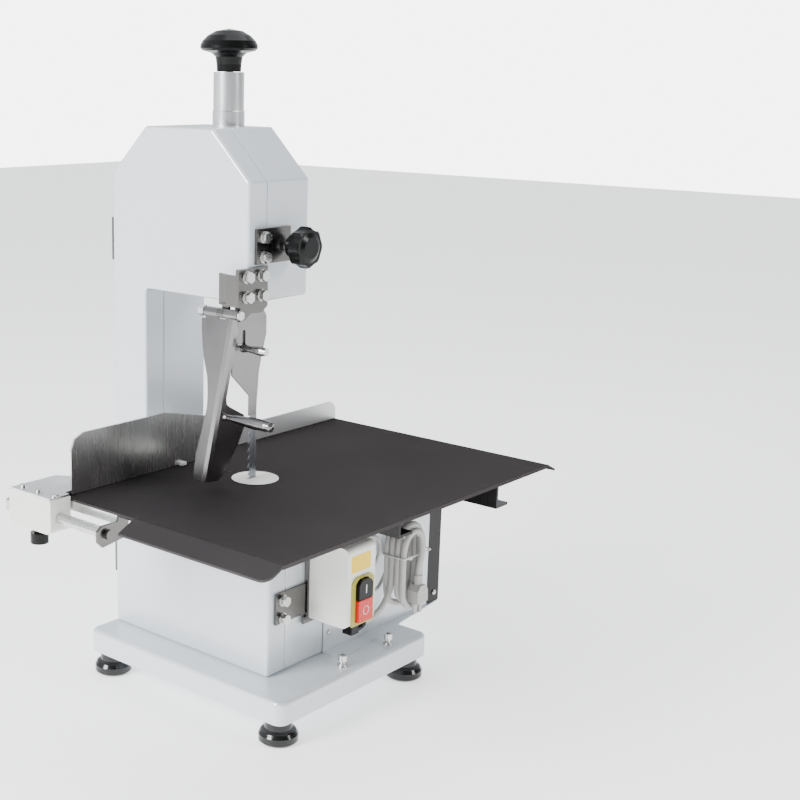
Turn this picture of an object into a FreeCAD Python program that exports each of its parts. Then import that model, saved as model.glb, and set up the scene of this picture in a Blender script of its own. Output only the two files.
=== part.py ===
"""Countertop bone saw: a band saw with a C-shaped body, a steel table, a fence and a swinging pusher.

Frame: X to the operator's right, Y away from the operator, Z up.
Dimensions are laid out from the centre of the four feet, on the surface that the saw stands on.
Each sub-part is then moved so that the origin lies below the centre of the overall box.
"""
import FreeCAD, Part

import math
import os
import re

import Sketcher
from FreeCAD import Placement, Rotation, Vector

doc = FreeCAD.newDocument("BoneSaw")
sheet = doc.addObject("Spreadsheet::Sheet", "Dims")

# ---------------------------------------------------------------- driving dimensions, in mm

DIMENSIONS = {
    # base and feet
    "base_length": 374, "base_width": 334, "base_bottom": 34, "base_top": 67, "base_corner": 14,
    "base_skin": 6, "foot_radius": 27, "foot_inset": 25,
    # C-shaped body, made of a rear housing and a front door that meet at the seam
    "column_left": -180, "column_right": -114, "head_right": 77, "box_right": 120,
    "door_front": -118, "seam": -82, "housing_back": -1,
    "box_top": 283, "head_bottom": 576, "shoulder": 733, "head_top": 798, "chamfer": 66,
    "wall": 4, "door_wall": 3, "door_gap": 0.8, "seam_round": 1.5,
    # band wheels and blade
    "wheel_x": -45, "wheel_radius": 98, "wheel_width": 20, "lower_wheel_z": 175,
    "blade_gap": 0.35, "blade_thick": 0.7, "blade_width": 16, "blade_y": -80.5,
    "blade_length": 1650, "tooth_pitch": 11, "tooth_depth": 3.5,
    "axle_radius": 7.5, "shaft_radius": 10, "running_gap": 0.05,
    # blade tension
    "screw_y": -26, "screw_radius": 6, "tube_radius": 21, "tube_top": 870,
    "knob_radius": 39, "knob_top": 927,
    # motor and its covers
    "motor_radius": 75, "rotor_radius": 40, "cover_left": -140, "cover_right": 122,
    "cover_back": 253, "rear_cap_back": 285, "cover_top": 270, "flange_right": 155,
    # table
    "table_left": -76, "table_right": 313, "table_front": -316, "table_back": 262,
    "table_top": 330, "sheet_thick": 3, "lip_reach": 27, "lip_drop": 13, "lip_left": 69,
    "upstand_height": 29, "insert_x": 58, "insert_y": -78, "insert_radius": 32.2,
    # fence
    "fence_x": -62, "fence_near": -306, "fence_far": -15, "fence_height": 80,
    "rod_y": -336, "rod_z": 308, "rod_radius": 7.5, "block_left": -131, "block_right": -48,
    # pusher and blade guard
    "pivot_y": -146, "pivot_z": 566, "pin_radius": 4, "barrel_radius": 6.5, "pusher_drop": 226,
    "lug_left": 53.3, "lug_right": 64.7,
    "guard_x": 63, "guard_bottom": 422, "guard_top": 562, "guard_travel": 20, "guard_screw_y": -112, "guard_screw_z": 516,
    # door hinges and latches
    "hinge_x": -188, "hinge_length": 60, "upper_latch_z": 648, "lower_latch_z": 160,
    "latch_bolt_y": -93, "latch_stud_y": -50, "stud_radius": 4,
    # switch
    "switch_left": 126, "switch_right": 192, "switch_front": -39, "switch_back": 22,
    "switch_bottom": 134, "switch_top": 248,
    # leads
    "lead_diameter": 9, "motor_lead_diameter": 5,
}

for row, (alias, value) in enumerate(DIMENSIONS.items(), start=1):
    sheet.set(f"A{row}", alias)
    sheet.set(f"B{row}", str(value))
    sheet.setAlias(f"B{row}", alias)
doc.recompute()

# a sheet of its own for working out formulas, so that nothing else is touched
arithmetic = FreeCAD.newDocument("Arithmetic").addObject("Spreadsheet::Sheet", "Sum")
FreeCAD.setActiveDocument(doc.Name)

ALIAS = re.compile(r"\b(" + "|".join(sorted(DIMENSIONS, key=len, reverse=True)) + r")\b")


def cell(alias):
    """Value of one driving dimension."""
    return float(sheet.get(alias))


def expression(text):
    """Turn a formula of plain aliases into one that reads the sheet."""
    return ALIAS.sub(r"Dims.\1", str(text))


# ---------------------------------------------------------------- building blocks

X_AXIS = Vector(1, 0, 0)
Y_AXIS = Vector(0, 1, 0)
Z_AXIS = Vector(0, 0, 1)
TURN_TO = {"x": Rotation(Y_AXIS, 90), "y": Rotation(X_AXIS, -90), "z": Rotation()}


def bind(item, **sizes):
    """Bind properties of an object to formulas of the sheet."""
    for name, formula in sizes.items():
        item.setExpression(name, expression(formula))
    return item


def place(item, x, y, z, rotation=None):
    """Put an object at a point given by formulas."""
    item.Placement = Placement(Vector(), rotation or Rotation())
    for letter, formula in zip("xyz", (x, y, z)):
        item.setExpression(f"Placement.Base.{letter}", expression(formula))
    return item


def block(x0, x1, y0, y1, z0, z1):
    """Box between two corners."""
    item = doc.addObject("Part::Box", "Block")
    bind(item, Length=f"({x1}) - ({x0})", Width=f"({y1}) - ({y0})", Height=f"({z1}) - ({z0})")
    return place(item, x0, y0, z0)


def round_bar(axis, x, y, z, radius, length):
    """Cylinder that starts at a point and runs along +X, +Y or +Z."""
    item = doc.addObject("Part::Cylinder", "RoundBar")
    bind(item, Radius=radius, Height=length)
    return place(item, x, y, z, TURN_TO[axis])


def cone(axis, x, y, z, radius_near, radius_far, length):
    """Cone frustum that starts at a point and runs along +X, +Y or +Z."""
    item = doc.addObject("Part::Cone", "Cone")
    bind(item, Radius1=radius_near, Radius2=radius_far, Height=length)
    return place(item, x, y, z, TURN_TO[axis])


def ball(x, y, z, radius):
    """Sphere."""
    item = doc.addObject("Part::Sphere", "Ball")
    bind(item, Radius=radius)
    return place(item, x, y, z)


def hexagon(axis, x, y, z, across_flats, length):
    """Hexagonal prism, such as a bolt head."""
    item = doc.addObject("Part::Prism", "Hexagon")
    item.Polygon = 6
    bind(item, Circumradius=f"({across_flats}) / sqrt(3)", Height=length)
    return place(item, x, y, z, TURN_TO[axis])


def cut(base, *tools):
    """Base without the tools."""
    for tool in tools:
        item = doc.addObject("Part::Cut", "Cut")
        item.Base = base
        item.Tool = tool
        base = item
    return base


def fuse(*solids):
    """One solid from several that touch."""
    item = doc.addObject("Part::MultiFuse", "Fuse")
    item.Shapes = list(solids)
    item.Refine = True
    return item


def common(*solids):
    """What several solids share."""
    item = doc.addObject("Part::MultiCommon", "Common")
    item.Shapes = list(solids)
    return item


def group(*solids):
    """Separate solids that share one node."""
    item = doc.addObject("Part::Compound", "Group")
    item.Links = list(solids)
    return item


def tube(axis, x, y, z, outer, inner, length):
    """Round bar with a bore."""
    return cut(round_bar(axis, x, y, z, outer, length), round_bar(axis, x, y, z, inner, length))


PLANES = {"xy": "XY_Plane", "xz": "XZ_Plane", "yz": "YZ_Plane"}


def sketch_on(body, plane, points, offset="0"):
    """Closed outline of straight lines whose corners are bound to formulas."""
    sketch = body.newObject("Sketcher::SketchObject", "Outline")
    role = PLANES[plane]
    support = [item for item in body.Origin.OriginFeatures if item.Role == role][0]
    sketch.AttachmentSupport = [(support, "")]
    sketch.MapMode = "FlatFace"
    # the outline plane XZ faces -Y, so its offset is measured the other way
    sign = "-1" if plane == "xz" else "1"
    sketch.setExpression("AttachmentOffset.Base.z", expression(f"{sign} * ({offset})"))
    values = [(value_of(u), value_of(v)) for u, v in points]
    count = len(points)
    for index in range(count):
        start = Vector(*values[index], 0)
        end = Vector(*values[(index + 1) % count], 0)
        sketch.addGeometry(Part.LineSegment(start, end), False)
    for index in range(count):
        sketch.addConstraint(Sketcher.Constraint("Coincident", index, 2, (index + 1) % count, 1))
    for index, (u, v) in enumerate(points):
        for kind, formula, value in zip(("DistanceX", "DistanceY"), (u, v), values[index]):
            number = sketch.addConstraint(Sketcher.Constraint(kind, index, 1, value))
            sketch.setExpression(f"Constraints[{number}]", expression(formula))
    return sketch


def value_of(formula):
    """Value of a formula of plain aliases."""
    text = ALIAS.sub(lambda match: repr(cell(match.group(1))), str(formula))
    arithmetic.set("A1", "=" + text)
    arithmetic.recompute()
    return float(arithmetic.get("A1"))


def plate(plane, points, start, end, radius=None, pick=None):
    """Pad an outline from one level to another, with the picked edges rounded."""
    body = doc.addObject("PartDesign::Body", "Body")
    sketch = sketch_on(body, plane, points, start)
    pad = body.newObject("PartDesign::Pad", "Pad")
    pad.Profile = sketch
    pad.Reversed = plane == "xz"
    pad.setExpression("Length", expression(f"({end}) - ({start})"))
    sketch.Visibility = False
    if radius:
        doc.recompute()
        round_edges(body, pad, radius, pick)
    return body


def round_edges(body, feature, radius, pick):
    """Fillet the edges of a body that a test picks."""
    names = []
    for number, edge in enumerate(feature.Shape.Edges, start=1):
        if pick(edge):
            names.append(f"Edge{number}")
    fillet = body.newObject("PartDesign::Fillet", "Fillet")
    fillet.Base = (feature, names)
    fillet.setExpression("Radius", expression(radius))
    return fillet


def along(direction):
    """Test that picks the straight edges along a direction."""
    def pick(edge):
        if not isinstance(edge.Curve, Part.Line):
            return False
        return abs(abs(edge.Curve.Direction.dot(direction)) - 1) < 1e-6
    return pick


def lies_at(letter, formula):
    """Test that picks the edges that lie wholly at one level."""
    level = value_of(formula)

    def pick(edge):
        box = edge.BoundBox
        low = getattr(box, letter.upper() + "Min")
        high = getattr(box, letter.upper() + "Max")
        return abs(low - level) < 1e-4 and abs(high - level) < 1e-4
    return pick


def turned(points, x, y, z, axis="z"):
    """Solid of revolution from an outline of (radius, height) points, with its axis at a point."""
    body = doc.addObject("PartDesign::Body", "Body")
    sketch = sketch_on(body, "xz", points)
    turn = body.newObject("PartDesign::Revolution", "Revolution")
    turn.Profile = sketch
    turn.ReferenceAxis = (sketch, ["V_Axis"])
    turn.Angle = 360
    sketch.Visibility = False
    return place(body, x, y, z, TURN_TO[axis])


nodes = {}


def keep(name, item):
    """Name a sub-part: its label is its node's name."""
    item.Label = name
    nodes[name] = item
    return item


# ---------------------------------------------------------------- fasteners

def hex_bolt(axis, x, y, z, shank, head_flats, head, length, sign=1):
    """Hex bolt whose head stands off the point along the axis, with its shank the other way."""
    offsets = {"x": (1, 0, 0), "y": (0, 1, 0), "z": (0, 0, 1)}[axis]

    def shifted(distance):
        return [f"({origin}) + {step * distance}" for origin, step in zip((x, y, z), offsets)]
    washer = 1.6
    if sign > 0:
        head_start, washer_start, shank_start = washer, 0, -length
    else:
        head_start, washer_start, shank_start = -washer - head, -washer, 0
    return fuse(hexagon(axis, *shifted(head_start), head_flats, head),
                round_bar(axis, *shifted(washer_start), head_flats * 0.62, washer),
                round_bar(axis, *shifted(shank_start), shank, length))


def cap_screw(x, y, z, stand_off, length):
    """Upright M8 socket-head cap screw on washers, its socket open at the top."""
    head_start = f"({z}) + {stand_off}"
    body = fuse(round_bar("z", x, y, head_start, 6.5, 8),
                round_bar("z", x, y, f"({z}) - {length}", 4, f"{stand_off + length}"),
                round_bar("z", x, y, z, 8, 1.6),
                round_bar("z", x, y, f"({z}) + 1.6", 6.8, 2.2))
    return cut(body, hexagon("z", x, y, f"{head_start} + 4", 6, 5))


# ---------------------------------------------------------------- base and feet

FOOT_PLACES = [(sx, sy) for sx in (-1, 1) for sy in (-1, 1)]


def foot_point(sx, sy):
    """Centre of one foot, as formulas."""
    return (f"{sx} * (base_length / 2 - foot_inset)", f"{sy} * (base_width / 2 - foot_inset)")


def make_base(screw_holes):
    """Cast base plate, hollow below, with a boss over each foot."""
    half_x, half_y = "base_length / 2", "base_width / 2"
    outline = [(f"-{half_x}", f"-{half_y}"), (half_x, f"-{half_y}"), (half_x, half_y), (f"-{half_x}", half_y)]
    body = plate("xy", outline, "base_bottom", "base_top", "base_corner", along(Z_AXIS))
    doc.recompute()
    round_edges(body, body.Tip, "6", lies_at("z", "base_top"))
    rim = 8
    hollow = block(f"-{half_x} + {rim}", f"{half_x} - {rim}", f"-{half_y} + {rim}", f"{half_y} - {rim}",
                   "base_bottom - 1", "base_top - base_skin")
    bosses = [round_bar("z", *foot_point(sx, sy), "base_bottom - 1", 24, "base_top - base_bottom")
              for sx, sy in FOOT_PLACES]
    ribs = [block(f"-{half_x}", half_x, "-4", "4", "base_bottom + 6", "base_top - 1"),
            block("-4", "4", f"-{half_y}", half_y, "base_bottom + 6", "base_top - 1")]
    shell = cut(body, cut(hollow, *bosses, *ribs))
    bores = [round_bar("z", *foot_point(sx, sy), "base_bottom - 2", 5, 30) for sx, sy in FOOT_PLACES]
    keep("base_plate", cut(shell, *bores, *screw_holes))


def make_feet(screws):
    """Four rubber feet with a flange, a stem and a recessed underside."""
    feet = []
    bolts = []
    for sx, sy in FOOT_PLACES:
        x, y = foot_point(sx, sy)
        profile = [("5.2", "4"), ("11", "4"), ("11", "0"), ("24", "0"), ("foot_radius", "3"),
                   ("foot_radius", "12"), ("24", "17"), ("19", "20"), ("18", "base_bottom"),
                   ("5.2", "base_bottom")]
        feet.append(turned(profile, x, y, "0"))
        bolts.append(fuse(round_bar("z", x, y, "4.2", 5, "base_top - 14"),
                          round_bar("z", x, y, "1.4", 9, 2.8)))
    keep("rubber_feet", group(*[cut(foot, round_bar("z", *foot_point(*spot), "1.2", 9.4, 3.2))
                                for foot, spot in zip(feet, FOOT_PLACES)]))
    keep("base_screws", group(*bolts, *screws))


# ---------------------------------------------------------------- C-shaped body

def c_outline(inset=0):
    """C-shaped outline in X and Z, moved inwards by an inset."""
    slant = inset * math.tan(math.radians(22.5))
    return [(f"column_left + {inset}", f"base_top + {inset}"),
            (f"box_right - {inset}", f"base_top + {inset}"),
            (f"box_right - {inset}", f"box_top - {inset}"),
            (f"column_right - {inset}", f"box_top - {inset}"),
            (f"column_right - {inset}", f"head_bottom + {inset}"),
            (f"head_right - {inset}", f"head_bottom + {inset}"),
            (f"head_right - {inset}", f"shoulder - {slant}"),
            (f"head_right - chamfer - {slant}", f"head_top - {inset}"),
            (f"column_left + chamfer + {slant}", f"head_top - {inset}"),
            (f"column_left + {inset}", f"shoulder - {slant}")]


BLADE_X = "wheel_x + wheel_radius + blade_gap"
UPPER_WHEEL_Z = ("lower_wheel_z + (blade_length - 2 * 3.14159265"
                 " * (wheel_radius + blade_gap + blade_thick / 2)) / 2")


def blade_notches(front, back):
    """Gaps that let the blade through the head's floor and the lower box's roof."""
    return [block(f"{BLADE_X} - 5", f"{BLADE_X} + 6", front, back, "head_bottom - 2", "head_bottom + 6"),
            block(f"{BLADE_X} - 5", f"{BLADE_X} + 6", front, back, "box_top - 6", "box_top + 2")]


def make_rear_housing():
    """Rear half of the C: a cast tray that carries the wheels, the motor and the tension screw."""
    shell = plate("xz", c_outline(), "seam", "housing_back", "5", along(Y_AXIS))
    doc.recompute()
    round_edges(shell, shell.Tip, "seam_round", lies_at("y", "seam"))
    hollow = plate("xz", c_outline(4), "seam - 1", "housing_back - wall", "3", along(Y_AXIS))
    boss = round_bar("x", "head_right - 16", "latch_stud_y", "upper_latch_z", 11, 14)
    seat = round_bar("y", "wheel_x", "housing_back - wall - 6", "lower_wheel_z", 48, 8)
    openings = [round_bar("y", "wheel_x", "housing_back - 20", "lower_wheel_z", "shaft_radius + 1.5", 30),
                round_bar("z", "wheel_x", "screw_y", "head_top - 8", "screw_radius + 0.6", 16),
                round_bar("x", "head_right - 20", "latch_stud_y", "upper_latch_z",
                          "stud_radius + running_gap", 30)]
    openings += blade_notches("seam - 1", "seam + 17")
    keep("rear_housing", cut(fuse(cut(shell, hollow), boss, seat), *openings))


def make_front_door():
    """Front half of the C: a door, hinged on its left edge, that uncovers both wheels and the blade."""
    shell = plate("xz", c_outline(), "door_front", "seam - door_gap", "5", along(Y_AXIS))
    doc.recompute()
    round_edges(shell, shell.Tip, "4", lies_at("y", "door_front"))
    doc.recompute()
    round_edges(shell, shell.Tip, "seam_round", lies_at("y", "seam - door_gap"))
    hollow = plate("xz", c_outline(4), "door_front + door_wall", "seam + 1", "3", along(Y_AXIS))
    keep("front_door", cut(shell, hollow, *blade_notches("seam - 15", "seam + 1"),
                           *latch_bolt_holes(), *bracket_bolt_holes()))


HINGE_LEVELS = ("175", "640")


def make_hinges():
    """Two hinges on the left side: each has a fixed leaf with a pressed pin, and a leaf on the door."""
    fixed = []
    moving = []
    for level in HINGE_LEVELS:
        bottom = f"{level} - hinge_length / 2"
        third = "hinge_length / 3"
        leaf = block("hinge_x", "column_left", "seam + 4", "seam + 34", bottom, f"{bottom} + hinge_length")
        leaf = cut(leaf, block("hinge_x - 1", "column_left - 4", "seam - 1", "seam + 40",
                               f"{bottom} - 1", f"{bottom} + hinge_length + 1"))
        knuckles = [round_bar("z", "hinge_x", "seam", f"{bottom} + {start} * {third}", 6, third)
                    for start in (0, 2)]
        arms = [block("hinge_x", "column_left", "seam", "seam + 6",
                      f"{bottom} + {start} * {third}", f"{bottom} + {start + 1} * {third}")
                for start in (0, 2)]
        pin = round_bar("z", "hinge_x", "seam", f"{bottom} - 2", 3, "hinge_length + 4")
        leaf = cut(leaf, round_bar("z", "hinge_x", "seam", f"{bottom} + {third} - 0.3", 6.6, f"{third} + 0.6"))
        fixed.append(fuse(leaf, *knuckles, *arms, pin))
        gap = 0.3
        door_leaf = block("column_left - 4", "column_left", "seam - 34", "seam - 4",
                          bottom, f"{bottom} + hinge_length")
        knuckle = round_bar("z", "hinge_x", "seam", f"{bottom} + {third} + {gap}", 6, f"{third} - {2 * gap}")
        arm = block("hinge_x", "column_left", "seam - 6", "seam - 0.6",
                    f"{bottom} + {third} + {gap}", f"{bottom} + 2 * {third} - {gap}")
        bore = round_bar("z", "hinge_x", "seam", bottom, "3 + running_gap", "hinge_length")
        relief = [round_bar("z", "hinge_x", "seam", f"{bottom} + {start} * {third} - 0.3", 6.6,
                            f"{third} + 0.6") for start in (0, 2)]
        moving.append(cut(fuse(cut(door_leaf, *relief), knuckle, arm), bore))
    keep("hinge_leaves", group(*fixed))
    keep("door_hinge_leaves", group(*moving))


LATCH_PLACES = [(face, level, shift) for face, level in (("head_right", "upper_latch_z"),
                                                          ("box_right", "lower_latch_z"))
                for shift in (-12, 14)]


def latch_bolt_holes():
    """Holes for the bolts that hold the latch plates to the door."""
    return [round_bar("x", f"{face} - 10", "latch_bolt_y", f"{level} + {shift}", 4, 16)
            for face, level, shift in LATCH_PLACES]


BRACKET_BOLTS = [(y, z) for y in ("-127", "-98") for z in ("613", "587")]


def bracket_bolt_holes():
    """Holes for the bolts that hold the pusher bracket to the door."""
    return [round_bar("x", "head_right - 10", y, z, 4, 20) for y, z in BRACKET_BOLTS]


def make_latches():
    """Upper latch plate with an open slot for the star knob's stud, and a plain lower strap."""
    upper = block("head_right", "head_right + 4", "-106", "latch_stud_y + 11",
                  "upper_latch_z - 21", "upper_latch_z + 25")
    lower = block("box_right", "box_right + 4", "-106", "-45", "lower_latch_z - 19", "lower_latch_z + 25")
    slot = fuse(block("head_right - 1", "head_right + 5", "latch_stud_y", "latch_stud_y + 12",
                      "upper_latch_z - stud_radius - 0.5", "upper_latch_z + stud_radius + 0.5"),
                round_bar("x", "head_right - 1", "latch_stud_y", "upper_latch_z", "stud_radius + 0.5", 6))
    # the plates stand clear of the housing, which they slide along as the door opens
    behind = [block(f"{face} - 1", f"{face} + 0.4", "seam - door_gap", "0", f"{level} - 30", f"{level} + 30")
              for face, level in (("head_right", "upper_latch_z"), ("box_right", "lower_latch_z"))]
    holes = latch_bolt_holes()
    keep("latch_plates", group(cut(upper, slot, behind[0], *holes[:2]),
                               cut(lower, behind[1], *holes[2:])))


def make_star_knob():
    """Eight-sided knob with hollow flanks on a shouldered stud, which clamps the upper latch plate."""
    # the slotted plate swings outwards by this much as the door opens
    x0 = "head_right + 7.6"
    hub = cone("x", f"{x0} + 8", "latch_stud_y", "upper_latch_z", 15, 12, 14)
    head = doc.addObject("Part::Prism", "KnobHead")
    head.Polygon = 8
    bind(head, Circumradius=28, Height=18)
    place(head, f"{x0} + 21", "latch_stud_y", "upper_latch_z", TURN_TO["x"])
    flanks = []
    for index in range(8):
        angle = math.radians(22.5 + 45 * index)
        flanks.append(round_bar("x", f"{x0} + 20", f"latch_stud_y + {43.5 * math.cos(angle):.4f}",
                                f"upper_latch_z + {43.5 * math.sin(angle):.4f}", 20, 20))
    rounded = turned([("0", "0"), ("24", "0"), ("26.6", "1.4"), ("27.4", "4"), ("27.4", "14"),
                      ("26.6", "16.6"), ("24", "18"), ("0", "18")],
                     f"{x0} + 21", "latch_stud_y", "upper_latch_z", "x")
    cap = cone("x", f"{x0} + 39", "latch_stud_y", "upper_latch_z", 20, 14, 3)
    bore = round_bar("x", f"{x0} + 7", "latch_stud_y", "upper_latch_z", "stud_radius", 14)
    keep("star_knob", cut(fuse(hub, common(cut(head, *flanks), rounded), cap), bore))
    keep("knob_stud", fuse(round_bar("x", "head_right - 15", "latch_stud_y", "upper_latch_z",
                                     "stud_radius", "15 + 7.6 + 21"),
                           round_bar("x", x0, "latch_stud_y", "upper_latch_z", 8, 8)))


# ---------------------------------------------------------------- blade and wheels

def make_blade():
    """Endless toothed band: two straight runs joined by half turns over the wheels."""
    x0 = cell("wheel_x")
    inner = cell("wheel_radius") + cell("blade_gap")
    outer = inner + cell("blade_thick")
    low = cell("lower_wheel_z")
    high = value_of(UPPER_WHEEL_Z)
    back = cell("blade_y") + cell("blade_width") / 2
    front = cell("blade_y") - cell("blade_width") / 2
    root = front + cell("tooth_depth")

    def loop(radius):
        edges = [Part.LineSegment(Vector(x0 + radius, root, low), Vector(x0 + radius, root, high)).toShape(),
                 Part.Arc(Vector(x0 + radius, root, high), Vector(x0, root, high + radius),
                          Vector(x0 - radius, root, high)).toShape(),
                 Part.LineSegment(Vector(x0 - radius, root, high), Vector(x0 - radius, root, low)).toShape(),
                 Part.Arc(Vector(x0 - radius, root, low), Vector(x0, root, low - radius),
                          Vector(x0 + radius, root, low)).toShape()]
        return Part.Face(Part.Wire(edges)).extrude(Vector(0, back - root, 0))
    band = loop(outer).cut(loop(inner))
    # each run has its own row of teeth, cut as one saw-toothed strip
    count = int((high - low) // cell("tooth_pitch"))
    start = (high + low - count * cell("tooth_pitch")) / 2
    pitch = cell("tooth_pitch")
    overlap = root + 0.5
    for side in (1, -1):
        x = x0 + inner if side > 0 else x0 - outer
        points = [Vector(x, overlap, start)]
        for index in range(count):
            tooth = start + index * pitch
            points.append(Vector(x, root, tooth))
            points.append(Vector(x, front, tooth + 0.15 * pitch))
            points.append(Vector(x, front + 0.4, tooth + 0.3 * pitch))
            points.append(Vector(x, root, tooth + 0.6 * pitch))
        points.append(Vector(x, root, start + count * pitch))
        points.append(Vector(x, overlap, start + count * pitch))
        strip = Part.Face(Part.makePolygon(points + points[:1])).extrude(Vector(cell("blade_thick"), 0, 0))
        band = band.fuse(strip)
    blade = doc.addObject("Part::Feature", "SawBlade")
    blade.Shape = band.removeSplitter()
    keep("saw_blade", blade)


def wheel_outline(bore):
    """Half section of a band wheel; heights run along the wheel's axis from its front face."""
    return [(bore, "-2.5"), ("26", "-2.5"), ("26", "7"), ("wheel_radius - 9", "7"),
            ("wheel_radius - 9", "0"), ("wheel_radius", "0"), ("wheel_radius", "wheel_width - 1"),
            ("wheel_radius + 3", "wheel_width - 0.5"), ("wheel_radius + 3", "wheel_width + 2"),
            ("wheel_radius - 9", "wheel_width + 2"), ("wheel_radius - 9", "13"), ("26", "13"),
            ("26", "wheel_width + 2.5"), (bore, "wheel_width + 2.5")]


def make_wheel(name, bore, height):
    """Band wheel with five round holes in its web."""
    front = "blade_y - wheel_width / 2"
    wheel = turned(wheel_outline(bore), "wheel_x", front, height, "y")
    holes = []
    for index in range(5):
        angle = math.radians(72 * index + 90)
        holes.append(round_bar("y", f"wheel_x + {58 * math.cos(angle):.4f}", f"{front} + 4",
                               f"{height} + {58 * math.sin(angle):.4f}", 17, 12))
    keep(name, cut(wheel, *holes))


def bearing(x, y, z, bore, outer, width):
    """Ball bearing whose rings and shields are one solid."""
    ring = tube("y", x, y, z, outer, bore, width)
    groove = tube("y", x, f"({y}) - 0.5", z, f"({outer}) - 3", f"({bore}) + 3", 1)
    return cut(ring, groove)


def make_upper_wheel():
    """Idler wheel on two ball bearings, its fixed axle and the sliding carriage."""
    level = UPPER_WHEEL_Z
    front = "blade_y - wheel_width / 2"
    make_wheel("upper_wheel", "17.5", level)
    keep("wheel_bearings", group(*[bearing("wheel_x", f"{front} + {shift}", level,
                                           "axle_radius + running_gap", "17.5", 11)
                                   for shift in (-1.5, 10.5)]))
    axle = fuse(round_bar("y", "wheel_x", f"{front} - 11", level, "axle_radius", 66),
                round_bar("y", "wheel_x", f"{front} + 22", level, 11, 22),
                hexagon("y", "wheel_x", f"{front} - 9", level, 22, 7))
    keep("upper_axle", axle)
    carriage = block("wheel_x - 25", "wheel_x + 25", "-46", "-9", f"{level} - 27", f"{level} + 27")
    keep("wheel_carriage", cut(carriage,
                               round_bar("z", "wheel_x", "screw_y", f"{level} - 30",
                                         "screw_radius + running_gap", 60),
                               round_bar("y", "wheel_x", "-47", level, "axle_radius", 11.5),
                               block("wheel_x - 26", "wheel_x - 17", "-24", "-13", f"{level} - 30",
                                     f"{level} + 30"),
                               block("wheel_x + 17", "wheel_x + 26", "-24", "-13", f"{level} - 30",
                                     f"{level} + 30")))
    guides = []
    for side in (-1, 1):
        inner, outer = sorted((25.4 * side, 37 * side))
        tongue_in, tongue_out = sorted((17.4 * side, 26 * side))
        rail = block(f"wheel_x + {inner}", f"wheel_x + {outer}", "-44", "housing_back - wall",
                     f"{level} - 50", f"{level} + 42")
        tongue = block(f"wheel_x + {tongue_in}", f"wheel_x + {tongue_out}", "-23.6", "-13.4",
                       f"{level} - 50", f"{level} + 42")
        guides.append(fuse(rail, tongue))
    keep("carriage_guides", group(*guides))


def make_tension():
    """Tension screw in a tube on the head, with its spring and mushroom knob."""
    x, y = "wheel_x", "screw_y"
    tube_profile = [("screw_radius + 1", "0"), ("22", "0"), ("22", "20"), ("tube_radius", "21"),
                    ("tube_radius", "tube_top - head_top"), ("screw_radius + 1", "tube_top - head_top"),
                    ("screw_radius + 1", "tube_top - head_top - 4"), ("18", "tube_top - head_top - 4"),
                    ("18", "4"), ("screw_radius + 1", "4")]
    keep("tension_tube", turned(tube_profile, x, y, "head_top"))
    keep("tension_screw", fuse(round_bar("z", x, y, f"{UPPER_WHEEL_Z} - 45", "screw_radius",
                                         f"tube_top + 20 - ({UPPER_WHEEL_Z} - 45)"),
                               round_bar("z", x, y, "tube_top - 12", 14, 6)))
    knob_profile = [("screw_radius", "0.4"), ("16.5", "0.4"), ("17", "10"), ("18.5", "20"), ("24", "25"),
                    ("knob_radius - 3", "28"), ("knob_radius", "31"), ("knob_radius", "35"),
                    ("knob_radius - 3", "41"), ("knob_radius - 10", "48"), ("knob_radius - 21", "54"),
                    ("0", "knob_top - tube_top"), ("0", "20"), ("screw_radius", "20")]
    keep("tension_knob", turned(knob_profile, x, y, "tube_top"))
    # compression spring between the tube's floor and the collar on the screw
    pitch = 8.4
    turns_height = 50
    coil = Part.makeHelix(pitch, turns_height, 12)
    section = Part.Wire(Part.makeCircle(1.5, Vector(12, 0, 0), Vector(0, 1, 0)))
    solid = Part.Wire(coil).makePipeShell([section], True, True)
    spring = doc.addObject("Part::Feature", "Spring")
    spring.Shape = solid
    spring.Placement = Placement(Vector(cell("wheel_x"), cell("screw_y"), cell("head_top") + 5.7), Rotation())
    keep("tension_spring", spring)


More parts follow.
